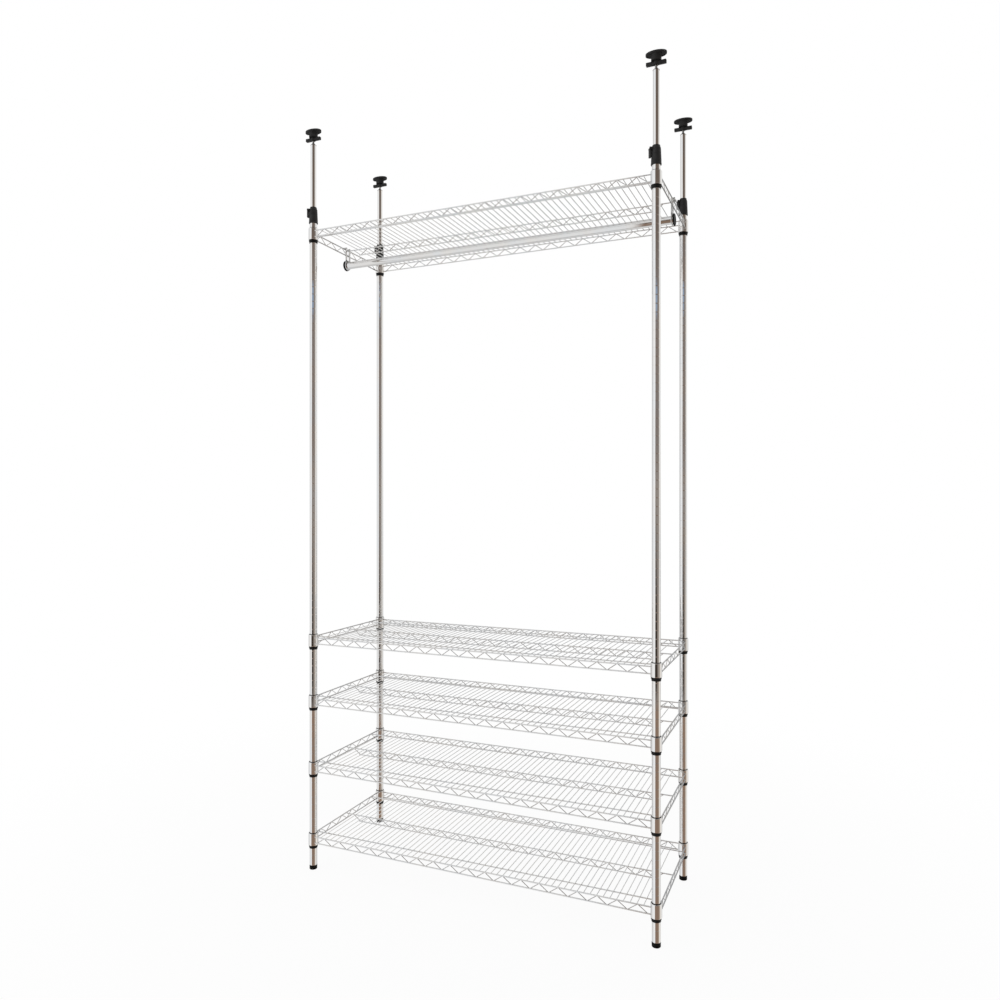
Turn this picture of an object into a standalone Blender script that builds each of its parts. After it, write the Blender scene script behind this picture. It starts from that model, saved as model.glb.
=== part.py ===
"""Chrome wire rack that is braced between floor and ceiling, with a hanger bar.

Every piece becomes its own object, in metres, +Z up, standing on z = 0. The origin lies
on the floor, midway between the four posts. The front of the rack faces -Y.
"""
import math

import bmesh
import bpy
from mathutils import Matrix, Vector

# Posts and feet
POST_SPACING_X = 1.183
POST_SPACING_Y = 0.426
POST_DIAMETER = 0.025
POST_WALL = 0.0012
POST_PLUG_LENGTH = 0.030
FOOT_DIAMETER = 0.026
FOOT_HEIGHT = 0.014
FOOT_EDGE = 0.0012
FOOT_STUD_DIAMETER = 0.008
FOOT_STUD_LENGTH = 0.025

# Places of the shelves: floor to the lowest sleeves, then from sleeve to sleeve going up
FLOOR_GAP = 0.0726
FIRST_BAY = 0.2443
SECOND_BAY = 0.2288
THIRD_BAY = 0.2091
HANGING_BAY = 1.3959

# Sleeves on the posts and the collars that wedge onto them
SLEEVE_WALL = 0.0012
SLEEVE_TAPER = 0.0005
SLEEVE_BELOW = 0.0108
SLEEVE_ABOVE = 0.0017
COLLAR_HEIGHT = 0.0405
COLLAR_WALL = 0.0018

# Shelf wires, with heights above the collar's lower face
RAIL_WIDTH = 0.005
RAIL_OFFSET = 0.009
TOP_RAIL_HEIGHT = 0.030
BOTTOM_RAIL_HEIGHT = 0.0094
DECK_WIRE_WIDTH = 0.0036
DECK_WIRE_COUNT = 39
DECK_END = 0.0215
MIDDLE_RAIL_WIDTH = 0.0045
MIDDLE_RAIL_DEPTH = 0.0205
MIDDLE_RAIL_END = 0.045
LEG_WIDTH = 0.0035
LEG_FOOT = 0.0065
LONG_LEG_COUNT = 12
SIDE_LEG_COUNT = 4
WELD_DEPTH = 0.001

# Clamps that lock the extension poles, and their levers, turned from the left side to the front
CLAMP_GAP = 0.0153
CLAMP_GRIP = 0.031
CLAMP_BODY = 0.051
CLAMP_NECK = 0.005
CLAMP_LOWER_WALL = 0.0024
CLAMP_UPPER_WALL = 0.0033
CLAMP_NECK_WALL = 0.0018
LEVER_TURN = math.radians(25)
LEVER_LENGTH = 0.025
LEVER_WIDTH = 0.012
LEVER_THICKNESS = 0.006
LEVER_TIP = 0.002
LEVER_GAP = 0.0006
LEVER_PIVOT_DROP = 0.0045
LEVER_PIN_DIAMETER = 0.003
LEVER_PIN_PLAY = 0.0004
EAR_THICKNESS = 0.0025
EAR_ROOT = 0.0015

# Extension poles
GUIDE_WALL = 0.0015
GUIDE_LENGTH = 0.030
POLE_WALL = 0.001
POLE_SHOWN = 0.2128
POLE_HIDDEN = 0.320
CONE_HEIGHT = 0.006
CONE_RIM = 0.0006
CONE_TIP_WALL = 0.0008
NUT_LENGTH = 0.022

# Jack screws, wing handles and ceiling pads
SCREW_DIAMETER = 0.008
SCREW_SHOWN = 0.0101
SCREW_HIDDEN = 0.055
SCREW_STUB = 0.012
WING_LENGTH = 0.058
WING_DEPTH = 0.010
WING_HEIGHT = 0.0102
HUB_HEIGHT = 0.0174
HUB_UPPER_DIAMETER = 0.030
HUB_LOWER_DIAMETER = 0.0295
PAD_LENGTH = 0.061
PAD_DEPTH = 0.035
PAD_THICKNESS = 0.0070
PAD_EDGE = 0.0012

# Hanger bar and its brackets
BAR_DIAMETER = 0.025
BAR_WALL = 0.001
BAR_DROP = 0.028
BAR_OVERHANG = 0.0135
BAR_CAP_DIAMETER = 0.037
BAR_CAP_THICKNESS = 0.005
BAR_CAP_PLUG = 0.012
BRACKET_THICKNESS = 0.0035
BRACKET_RING_WALL = 0.004
BRACKET_HALF_WIDTH = 0.014
BRACKET_SLOT = 0.012
HOOK_LIP = 0.003
HOOK_INSET = 0.0005

# Room between pieces that touch, room round a turning screw, and facets of round pieces
CLEARANCE = 0.0003
SCREW_PLAY = 0.0004
ROUND_SIDES = 12
PAD_SIDES = 16
PIN_SIDES = 8
WING_END_STEPS = 4
KNUCKLE_STEPS = 4
SHARP_ANGLE = math.radians(40)

CORNERS = {
    "front_left": (-1, -1),
    "front_right": (1, -1),
    "back_left": (-1, 1),
    "back_right": (1, 1),
}
SIDES = {"left": -1, "right": 1}

# Radii and heights that follow from the sizes above
POST_RADIUS = POST_DIAMETER / 2
POST_BORE = POST_RADIUS - POST_WALL
POLE_RADIUS = POST_BORE - CLEARANCE - GUIDE_WALL
SLEEVE_HEIGHT = SLEEVE_BELOW + COLLAR_HEIGHT + SLEEVE_ABOVE
SLEEVE_BORE = POST_RADIUS + CLEARANCE
COLLAR_RADIUS = SLEEVE_BORE + SLEEVE_WALL + SLEEVE_TAPER + CLEARANCE + COLLAR_WALL
SCREW_RADIUS = SCREW_DIAMETER / 2
SCREW_BORE = SCREW_RADIUS + SCREW_PLAY

SLEEVE_PLACES = [FLOOR_GAP]
for bay in (FIRST_BAY, SECOND_BAY, THIRD_BAY, HANGING_BAY):
    SLEEVE_PLACES.append(SLEEVE_PLACES[-1] + bay)
SHELF_NAMES = ["shelf_1", "shelf_2", "shelf_3", "shelf_4", "shelf_top"]

CLAMP_BOTTOM = SLEEVE_PLACES[-1] + SLEEVE_HEIGHT + CLAMP_GAP
POST_TOP = CLAMP_BOTTOM + CLAMP_GRIP
CLAMP_TOP = CLAMP_BOTTOM + CLAMP_BODY + CLAMP_NECK
POLE_TOP = CLAMP_TOP + POLE_SHOWN
CONE_TOP = POLE_TOP + CONE_HEIGHT
WING_BOTTOM = CONE_TOP + SCREW_SHOWN
HUB_BOTTOM = WING_BOTTOM + WING_HEIGHT + CLEARANCE


def clear_scene():
    for old in list(bpy.data.objects):
        bpy.data.objects.remove(old, do_unlink=True)


def make_material(name, colour, roughness, metallic):
    material = bpy.data.materials.new(name)
    material.use_nodes = True
    shader = material.node_tree.nodes["Principled BSDF"]
    shader.inputs["Base Color"].default_value = (*colour, 1.0)
    shader.inputs["Roughness"].default_value = roughness
    shader.inputs["Metallic"].default_value = metallic
    return material


def mesh_from(name, bm):
    bmesh.ops.recalc_face_normals(bm, faces=bm.faces)
    mesh = bpy.data.meshes.new(name)
    bm.to_mesh(mesh)
    bm.free()
    mesh.shade_smooth()
    mesh.set_sharp_from_angle(angle=SHARP_ANGLE)
    return mesh


def place(name, mesh, material, location=(0, 0, 0)):
    piece = bpy.data.objects.new(name, mesh)
    piece.location = location
    if not mesh.materials:
        mesh.materials.append(material)
    bpy.context.collection.objects.link(piece)
    return piece


def corner_point(corner, height=0.0):
    x, y = CORNERS[corner]
    return (x * POST_SPACING_X / 2, y * POST_SPACING_Y / 2, height)


def add_turned(bm, profile, sides=ROUND_SIDES):
    """Turns (radius, height) points about Z. Points on the axis close the ends."""
    rings = []
    for radius, height in profile:
        if radius == 0:
            rings.append([bm.verts.new((0, 0, height))])
            continue
        ring = []
        for step in range(sides):
            angle = math.tau * step / sides
            ring.append(bm.verts.new((radius * math.cos(angle), radius * math.sin(angle), height)))
        rings.append(ring)
    if profile[0][0] > 0:
        rings.append(rings[0])
    for lower, upper in zip(rings, rings[1:]):
        for step in range(sides):
            after = (step + 1) % sides
            corners = [lower[step % len(lower)], lower[after % len(lower)],
                       upper[after % len(upper)], upper[step % len(upper)]]
            bm.faces.new(list(dict.fromkeys(corners)))
    return rings


def turned_mesh(name, profile, turn=None):
    bm = bmesh.new()
    add_turned(bm, profile)
    if turn is not None:
        bmesh.ops.transform(bm, matrix=turn, verts=bm.verts)
    return mesh_from(name, bm)


def add_prism(bm, outline, direction):
    """Extrudes a closed outline of points along a direction into a solid."""
    base = [bm.verts.new(point) for point in outline]
    face = bm.faces.new(base)
    made = bmesh.ops.extrude_face_region(bm, geom=[face], use_keep_orig=True)
    moved = [item for item in made["geom"] if isinstance(item, bmesh.types.BMVert)]
    bmesh.ops.translate(bm, verts=moved, vec=direction)


def add_wire(bm, start, end, width, across):
    """Adds a square wire from start to end, with one pair of sides square to across."""
    start = Vector(start)
    end = Vector(end)
    along = (end - start).normalized()
    side = Vector(across).normalized()
    rise = along.cross(side)
    half = width / 2
    outline = [start + side * half * u + rise * half * v for u, v in ((-1, -1), (1, -1), (1, 1), (-1, 1))]
    add_prism(bm, outline, end - start)


def add_box(bm, low, high):
    outline = [(low[0], low[1], low[2]), (high[0], low[1], low[2]),
               (high[0], high[1], low[2]), (low[0], high[1], low[2])]
    add_prism(bm, outline, (0, 0, high[2] - low[2]))


def combine(name, base, steps):
    """Joins or cuts a bmesh with others and returns the finished mesh."""
    helpers = []
    work = bpy.data.objects.new(name + "_work", mesh_from(name + "_base", base))
    bpy.context.collection.objects.link(work)
    for operation, other in steps:
        helper = bpy.data.objects.new(name + "_tool", mesh_from(name + "_tool", other))
        helper.hide_render = True
        helper.display_type = "WIRE"
        bpy.context.collection.objects.link(helper)
        helpers.append(helper)
        cut = work.modifiers.new(operation, "BOOLEAN")
        cut.operation = operation
        cut.solver = "EXACT"
        cut.use_self = True
        cut.object = helper
    bpy.context.view_layer.update()
    graph = bpy.context.evaluated_depsgraph_get()
    finished = bpy.data.meshes.new_from_object(work.evaluated_get(graph))
    finished.name = name
    for helper in helpers + [work]:
        bpy.data.objects.remove(helper, do_unlink=True)
    finished.shade_smooth()
    finished.set_sharp_from_angle(angle=SHARP_ANGLE)
    return finished


def sleeve_radius(height):
    """Outer radius of the tapered sleeve at a height above its lower end."""
    return SLEEVE_BORE + SLEEVE_WALL + SLEEVE_TAPER * (1 - height / SLEEVE_HEIGHT)


def make_posts(chrome):
    stud_bore = FOOT_STUD_DIAMETER / 2 + SCREW_PLAY
    bottom = FOOT_HEIGHT + CLEARANCE
    plug_top = bottom + POST_PLUG_LENGTH
    mesh = turned_mesh("post", [
        (stud_bore, bottom), (POST_RADIUS, bottom), (POST_RADIUS, POST_TOP),
        (POST_BORE, POST_TOP), (POST_BORE, plug_top), (stud_bore, plug_top)])
    for corner in CORNERS:
        place("post_" + corner, mesh, chrome, corner_point(corner))


def make_feet(plastic):
    stud = FOOT_STUD_DIAMETER / 2
    radius = FOOT_DIAMETER / 2
    mesh = turned_mesh("foot", [
        (0, 0), (radius - FOOT_EDGE, 0), (radius, FOOT_EDGE), (radius, FOOT_HEIGHT),
        (stud, FOOT_HEIGHT), (stud, FOOT_HEIGHT + FOOT_STUD_LENGTH), (0, FOOT_HEIGHT + FOOT_STUD_LENGTH)])
    for corner in CORNERS:
        place("foot_" + corner, mesh, plastic, corner_point(corner))


def make_sleeves(plastic):
    mesh = turned_mesh("sleeve", [
        (SLEEVE_BORE, 0), (sleeve_radius(0), 0),
        (sleeve_radius(SLEEVE_HEIGHT), SLEEVE_HEIGHT), (SLEEVE_BORE, SLEEVE_HEIGHT)])
    for shelf, height in zip(SHELF_NAMES, SLEEVE_PLACES):
        for corner in CORNERS:
            name = "sleeve_" + shelf.removeprefix("shelf_") + "_" + corner
            place(name, mesh, plastic, corner_point(corner, height))


def add_zigzag(bm, start, end, first, second, legs, across):
    """Adds a truss's legs between two plan points, to and fro from the first height to the second."""
    start = Vector(start)
    step = (Vector(end) - start) / legs
    foot = step.normalized() * LEG_FOOT
    for leg in range(legs):
        from_height, to_height = (first, second) if leg % 2 == 0 else (second, first)
        here = start + step * leg + foot
        there = start + step * (leg + 1) - foot
        add_wire(bm, (here.x, here.y, from_height), (there.x, there.y, to_height), LEG_WIDTH, across)


def add_truss(bm, start, end, inset):
    """Adds the upper and lower rail of one side of a shelf, with the legs between them."""
    along = (Vector(end) - Vector(start)).normalized()
    across = Vector((-along.y, along.x, 0))
    for height in (TOP_RAIL_HEIGHT, BOTTOM_RAIL_HEIGHT):
        add_wire(bm, (*start, height), (*end, height), RAIL_WIDTH, across)
    legs = LONG_LEG_COUNT if abs(along.x) > abs(along.y) else SIDE_LEG_COUNT
    first = Vector(start) + along * inset
    last = Vector(end) - along * inset
    add_zigzag(bm, first, last, BOTTOM_RAIL_HEIGHT, TOP_RAIL_HEIGHT, legs, across)


def shelf_mesh():
    half_x = POST_SPACING_X / 2
    half_y = POST_SPACING_Y / 2
    rail_x = half_x + RAIL_OFFSET
    rail_y = half_y + RAIL_OFFSET
    wires = bmesh.new()
    for sign in (-1, 1):
        add_truss(wires, (-half_x, sign * rail_y), (half_x, sign * rail_y), DECK_END)
        add_truss(wires, (sign * rail_x, -half_y), (sign * rail_x, half_y), DECK_END)
    deck_reach = half_x - DECK_END
    for wire in range(DECK_WIRE_COUNT):
        x = deck_reach * (2 * wire / (DECK_WIRE_COUNT - 1) - 1)
        add_wire(wires, (x, -rail_y, TOP_RAIL_HEIGHT), (x, rail_y, TOP_RAIL_HEIGHT),
                 DECK_WIRE_WIDTH, (1, 0, 0))
    upper = TOP_RAIL_HEIGHT - (DECK_WIRE_WIDTH + MIDDLE_RAIL_WIDTH) / 2 + WELD_DEPTH
    lower = upper - MIDDLE_RAIL_DEPTH
    short_reach = half_x - MIDDLE_RAIL_END
    add_wire(wires, (-rail_x, 0, upper), (rail_x, 0, upper), MIDDLE_RAIL_WIDTH, (0, 1, 0))
    add_wire(wires, (-short_reach, 0, lower), (short_reach, 0, lower), MIDDLE_RAIL_WIDTH, (0, 1, 0))
    add_zigzag(wires, (-short_reach, 0), (short_reach, 0), upper, lower, LONG_LEG_COUNT, (0, 1, 0))

    collars = bmesh.new()
    bores = bmesh.new()
    below = -CLEARANCE
    above = COLLAR_HEIGHT + CLEARANCE
    for corner in CORNERS:
        for bm, profile in (
                (collars, [(0, 0), (COLLAR_RADIUS, 0), (COLLAR_RADIUS, COLLAR_HEIGHT), (0, COLLAR_HEIGHT)]),
                (bores, [(0, below), (sleeve_radius(SLEEVE_BELOW + below) + CLEARANCE, below),
                         (sleeve_radius(SLEEVE_BELOW + above) + CLEARANCE, above), (0, above)])):
            rings = add_turned(bm, profile)
            new = [vert for ring in rings for vert in ring]
            bmesh.ops.translate(bm, verts=new, vec=corner_point(corner))
    return combine("shelf", wires, [("UNION", collars), ("DIFFERENCE", bores)])


def make_shelves(chrome):
    mesh = shelf_mesh()
    for name, height in zip(SHELF_NAMES, SLEEVE_PLACES):
        place(name, mesh, chrome, (0, 0, height + SLEEVE_BELOW))


def clamp_radius(height):
    """Outer radius of the clamp's body at a height above its lower end."""
    lower = POST_RADIUS + CLEARANCE + CLAMP_LOWER_WALL
    upper = POLE_RADIUS + CLEARANCE + CLAMP_UPPER_WALL
    return lower + (upper - lower) * height / CLAMP_BODY


def lever_pivot():
    """Place of the lever's pin, out from the pole's axis and up from the clamp's lower end."""
    height = CLAMP_BODY - LEVER_PIVOT_DROP
    tip = height - LEVER_LENGTH
    return -(clamp_radius(tip) + LEVER_GAP + LEVER_THICKNESS / 2), height


def make_clamps(plastic):
    post_bore = POST_RADIUS + CLEARANCE
    pole_bore = POLE_RADIUS + CLEARANCE
    shoulder = CLAMP_GRIP + CLEARANCE
    neck = pole_bore + CLAMP_NECK_WALL
    body = bmesh.new()
    add_turned(body, [
        (post_bore, 0), (clamp_radius(0), 0), (clamp_radius(CLAMP_BODY), CLAMP_BODY),
        (neck, CLAMP_BODY), (neck, CLAMP_BODY + CLAMP_NECK), (pole_bore, CLAMP_BODY + CLAMP_NECK),
        (pole_bore, shoulder), (post_bore, shoulder)])
    pivot_x, pivot_z = lever_pivot()
    knuckle = LEVER_THICKNESS / 2
    inside = LEVER_WIDTH / 2 + CLEARANCE
    outside = inside + EAR_THICKNESS
    ears = bmesh.new()
    for sign in (-1, 1):
        near, far = sorted((sign * inside, sign * outside))
        root = -math.sqrt((pole_bore + EAR_ROOT) ** 2 - inside ** 2)
        add_box(ears, (pivot_x - knuckle, near, pivot_z - knuckle), (root, far, pivot_z + knuckle))
    turn = Matrix.Rotation(LEVER_TURN, 4, "Z")
    bmesh.ops.transform(ears, matrix=turn, verts=ears.verts)
    pin_reach = inside + EAR_THICKNESS / 2
    pin = bmesh.new()
    add_turned(pin, [(0, -pin_reach), (LEVER_PIN_DIAMETER / 2, -pin_reach),
                     (LEVER_PIN_DIAMETER / 2, pin_reach), (0, pin_reach)], sides=PIN_SIDES)
    along_y = Matrix.Rotation(math.radians(90), 4, "X")
    to_pivot = Matrix.Translation((pivot_x, 0, pivot_z))
    bmesh.ops.transform(pin, matrix=turn @ to_pivot @ along_y, verts=pin.verts)
    mesh = combine("clamp", body, [("UNION", ears), ("UNION", pin)])
    for corner in CORNERS:
        place("clamp_" + corner, mesh, plastic, corner_point(corner, CLAMP_BOTTOM))


def make_levers(plastic):
    pivot_x, pivot_z = lever_pivot()
    knuckle = LEVER_THICKNESS / 2
    half = LEVER_WIDTH / 2
    tip = -LEVER_LENGTH
    outline = [(-knuckle, tip + LEVER_TIP), (-knuckle + LEVER_TIP, tip), (knuckle, tip)]
    for step in range(KNUCKLE_STEPS + 1):
        angle = math.pi * step / KNUCKLE_STEPS
        outline.append((knuckle * math.cos(angle), knuckle * math.sin(angle)))
    body = bmesh.new()
    add_prism(body, [(x, -half, z) for x, z in outline], (0, LEVER_WIDTH, 0))
    eye_radius = LEVER_PIN_DIAMETER / 2 + LEVER_PIN_PLAY
    eye = bmesh.new()
    reach = half + CLEARANCE
    add_turned(eye, [(0, -reach), (eye_radius, -reach), (eye_radius, reach), (0, reach)], sides=PIN_SIDES)
    bmesh.ops.transform(eye, matrix=Matrix.Rotation(math.radians(90), 4, "X"), verts=eye.verts)
    mesh = combine("lever", body, [("DIFFERENCE", eye)])
    pivot = Matrix.Rotation(LEVER_TURN, 4, "Z") @ Vector((pivot_x, 0, pivot_z))
    for corner in CORNERS:
        piece = place("lever_" + corner, mesh, plastic, pivot + Vector(corner_point(corner, CLAMP_BOTTOM)))
        piece.rotation_euler.z = LEVER_TURN


def make_poles(chrome):
    bottom = POST_TOP - POLE_HIDDEN
    guide = POST_BORE - CLEARANCE
    guide_top = bottom + GUIDE_LENGTH
    bore = POLE_RADIUS - POLE_WALL
    nut_bottom = POLE_TOP - NUT_LENGTH
    rim = POLE_RADIUS + CONE_RIM
    mesh = turned_mesh("pole", [
        (bore, bottom), (guide, bottom), (guide, guide_top), (POLE_RADIUS, guide_top),
        (POLE_RADIUS, POLE_TOP), (rim, POLE_TOP), (SCREW_BORE + CONE_TIP_WALL, CONE_TOP),
        (SCREW_BORE, CONE_TOP), (SCREW_BORE, nut_bottom), (bore, nut_bottom)])
    for corner in CORNERS:
        place("pole_" + corner, mesh, chrome, corner_point(corner))


def make_wing_screws(plastic):
    shaft = bmesh.new()
    bottom = -SCREW_HIDDEN
    top = WING_HEIGHT + SCREW_STUB
    add_turned(shaft, [(0, bottom), (SCREW_RADIUS, bottom), (SCREW_RADIUS, top), (0, top)])
    wing = bmesh.new()
    end_radius = WING_DEPTH / 2
    straight = WING_LENGTH / 2 - end_radius
    outline = []
    for sign in (1, -1):
        for step in range(WING_END_STEPS + 1):
            angle = math.pi * (step / WING_END_STEPS - 0.5)
            outline.append((sign * (straight + end_radius * math.cos(angle)),
                            sign * end_radius * math.sin(angle), 0))
    add_prism(wing, outline, (0, 0, WING_HEIGHT))
    mesh = combine("wing_screw", shaft, [("UNION", wing)])
    for corner in CORNERS:
        place("wing_screw_" + corner, mesh, plastic, corner_point(corner, WING_BOTTOM))


def make_ceiling_pads(plastic):
    plate_bottom = HUB_HEIGHT
    plate_top = HUB_HEIGHT + PAD_THICKNESS
    socket_top = SCREW_STUB + CLEARANCE
    long_half = PAD_LENGTH / 2
    short_half = PAD_DEPTH / 2
    sections = [
        (SCREW_BORE, SCREW_BORE, socket_top), (SCREW_BORE, SCREW_BORE, 0),
        (HUB_LOWER_DIAMETER / 2, HUB_LOWER_DIAMETER / 2, 0),
        (HUB_UPPER_DIAMETER / 2, HUB_UPPER_DIAMETER / 2, plate_bottom),
        (long_half - PAD_EDGE, short_half - PAD_EDGE, plate_bottom),
        (long_half, short_half, plate_bottom + PAD_EDGE),
        (long_half, short_half, plate_top - PAD_EDGE),
        (long_half - PAD_EDGE, short_half - PAD_EDGE, plate_top)]
    bm = bmesh.new()
    rings = []
    for reach_x, reach_y, height in sections:
        ring = []
        for step in range(PAD_SIDES):
            angle = math.tau * step / PAD_SIDES
            ring.append(bm.verts.new((reach_x * math.cos(angle), reach_y * math.sin(angle), height)))
        rings.append(ring)
    for lower, upper in zip(rings, rings[1:]):
        for step in range(PAD_SIDES):
            after = (step + 1) % PAD_SIDES
            bm.faces.new((lower[step], lower[after], upper[after], upper[step]))
    bm.faces.new(rings[0])
    bm.faces.new(rings[-1])
    mesh = mesh_from("ceiling_pad", bm)
    for corner in CORNERS:
        place("ceiling_pad_" + corner, mesh, plastic, corner_point(corner, HUB_BOTTOM))


def make_hanger_bar(chrome, plastic):
    shelf_bottom = SLEEVE_PLACES[-1] + SLEEVE_BELOW
    centre = (0, 0, shelf_bottom - BAR_DROP)
    radius = BAR_DIAMETER / 2
    bore = radius - BAR_WALL
    reach = POST_SPACING_X / 2 + BAR_OVERHANG
    bar_end = reach - BAR_CAP_THICKNESS - CLEARANCE
    along_x = Matrix.Rotation(math.radians(90), 4, "Y")
    bar = turned_mesh("hanger_bar", [
        (bore, -bar_end), (radius, -bar_end), (radius, bar_end), (bore, bar_end)], along_x)
    place("hanger_bar", bar, chrome, centre)
    plug = bore - CLEARANCE
    cap = BAR_CAP_DIAMETER / 2
    cap_back = reach - BAR_CAP_THICKNESS
    plug_end = cap_back - BAR_CAP_PLUG
    cap_profile = [
        (0, plug_end), (plug, plug_end), (plug, cap_back), (cap, cap_back), (cap, reach), (0, reach)]
    for side, sign in SIDES.items():
        turn = Matrix.Rotation(math.radians(90 * sign), 4, "Y")
        place("bar_cap_" + side, turned_mesh("bar_cap_" + side, cap_profile, turn), plastic, centre)
        place("bar_bracket_" + side, bracket_mesh("bar_bracket_" + side, sign), chrome, centre)


def bracket_mesh(name, sign):
    """Hook plate of the bar: a ring round the bar and two prongs over the shelf's side rail."""
    rail_x = POST_SPACING_X / 2 + RAIL_OFFSET
    outer = rail_x - RAIL_WIDTH / 2 - CLEARANCE
    inner = outer - BRACKET_THICKNESS
    rail_z = BAR_DROP + TOP_RAIL_HEIGHT
    hook_low = rail_z + RAIL_WIDTH / 2 + CLEARANCE
    hook_high = hook_low + BRACKET_THICKNESS
    ring_radius = BAR_DIAMETER / 2 + CLEARANCE + BRACKET_RING_WALL
    half_slot = BRACKET_SLOT / 2
    prong_top = (hook_low + hook_high) / 2
    start = math.acos(BRACKET_HALF_WIDTH / ring_radius)
    outline = []
    for step in range(ROUND_SIDES + 1):
        angle = math.pi - start + (math.pi + 2 * start) * step / ROUND_SIDES
        outline.append((ring_radius * math.cos(angle), ring_radius * math.sin(angle)))
    outline += [(BRACKET_HALF_WIDTH, prong_top), (half_slot, prong_top), (half_slot, ring_radius),
                (-half_slot, ring_radius), (-half_slot, prong_top), (-BRACKET_HALF_WIDTH, prong_top)]
    plate = bmesh.new()
    add_prism(plate, [(sign * inner, y, z) for y, z in outline], (sign * BRACKET_THICKNESS, 0, 0))

    lip_in = rail_x + RAIL_WIDTH / 2 + CLEARANCE
    lip_out = lip_in + BRACKET_THICKNESS
    hook_start = (inner + outer) / 2
    lip_low = hook_low - HOOK_LIP
    hook = [(hook_start, hook_low), (lip_in, hook_low), (lip_in, lip_low),
            (lip_out, lip_low), (lip_out, hook_high), (hook_start, hook_high)]
    hooks = bmesh.new()
    width = BRACKET_HALF_WIDTH - half_slot - 2 * HOOK_INSET
    for start_y in (half_slot + HOOK_INSET, -BRACKET_HALF_WIDTH + HOOK_INSET):
        add_prism(hooks, [(sign * x, start_y, z) for x, z in hook], (0, width, 0))

    bar_hole = bmesh.new()
    hole = BAR_DIAMETER / 2 + CLEARANCE
    add_turned(bar_hole, [(0, inner - CLEARANCE), (hole, inner - CLEARANCE),
                          (hole, outer + CLEARANCE), (0, outer + CLEARANCE)])
    turn = Matrix.Rotation(math.radians(90 * sign), 4, "Y")
    bmesh.ops.transform(bar_hole, matrix=turn, verts=bar_hole.verts)
    return combine(name, plate, [("UNION", hooks), ("DIFFERENCE", bar_hole)])


clear_scene()
CHROME = make_material("chrome_plate", (0.80, 0.80, 0.79), 0.12, 1.0)
BLACK = make_material("black_plastic", (0.02, 0.02, 0.021), 0.45, 0.0)
make_posts(CHROME)
make_feet(BLACK)
make_sleeves(BLACK)
make_shelves(CHROME)
make_clamps(BLACK)
make_levers(BLACK)
make_poles(CHROME)
make_wing_screws(BLACK)
make_ceiling_pads(BLACK)
make_hanger_bar(CHROME, BLACK)
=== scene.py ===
"""Looks of a chrome wire rack that is braced between floor and ceiling."""
import math

import bpy
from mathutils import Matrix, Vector


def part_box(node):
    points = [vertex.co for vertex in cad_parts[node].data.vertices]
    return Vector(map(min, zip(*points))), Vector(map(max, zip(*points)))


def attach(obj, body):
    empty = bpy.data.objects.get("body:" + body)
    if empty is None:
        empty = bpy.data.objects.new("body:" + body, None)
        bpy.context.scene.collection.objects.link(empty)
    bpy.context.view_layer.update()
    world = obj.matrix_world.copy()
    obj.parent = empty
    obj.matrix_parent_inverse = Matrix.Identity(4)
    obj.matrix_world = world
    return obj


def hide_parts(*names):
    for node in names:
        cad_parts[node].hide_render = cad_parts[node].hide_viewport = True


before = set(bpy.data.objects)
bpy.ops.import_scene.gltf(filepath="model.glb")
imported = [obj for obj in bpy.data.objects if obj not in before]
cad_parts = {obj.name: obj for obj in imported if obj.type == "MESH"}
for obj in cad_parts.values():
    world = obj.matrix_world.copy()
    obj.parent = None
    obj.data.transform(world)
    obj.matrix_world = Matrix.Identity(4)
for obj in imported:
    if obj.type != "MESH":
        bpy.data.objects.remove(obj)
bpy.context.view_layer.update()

# Levelling feet. Each is a black moulded cup, a little wider than the post above it, on a
# threaded steel stud that screws into the post's lower end.
CORNERS = ("front_left", "front_right", "back_left", "back_right")
UP = Vector((0, 0, 1))
AXIS = 0.00001
HOLD = 0.0006
LONG_STRETCH = 6 * HOLD
RING_SIDES = 48
FOOT_STEPS = (
    (AXIS, 0.0), (0.0106, 0.0), (0.0121, 0.0004), (0.0129, 0.0014), (0.0130, 0.0024),
    (0.0130, 0.0044), (0.0126, 0.0047), (0.0126, 0.0054), (0.0130, 0.0057), (0.0130, 0.0124),
    (0.0127, 0.0134), (0.0119, 0.0140), (AXIS, 0.0140))
STUD_CORE = 0.0036
STUD_CREST = 0.0040
STUD_PITCH = 0.00125
STUD_SPAN = (0.0130, 0.0390)
THREAD_SIDES = 20
RIDGE_SIDES = 3
RIDGE_SHARE = 0.8


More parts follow.
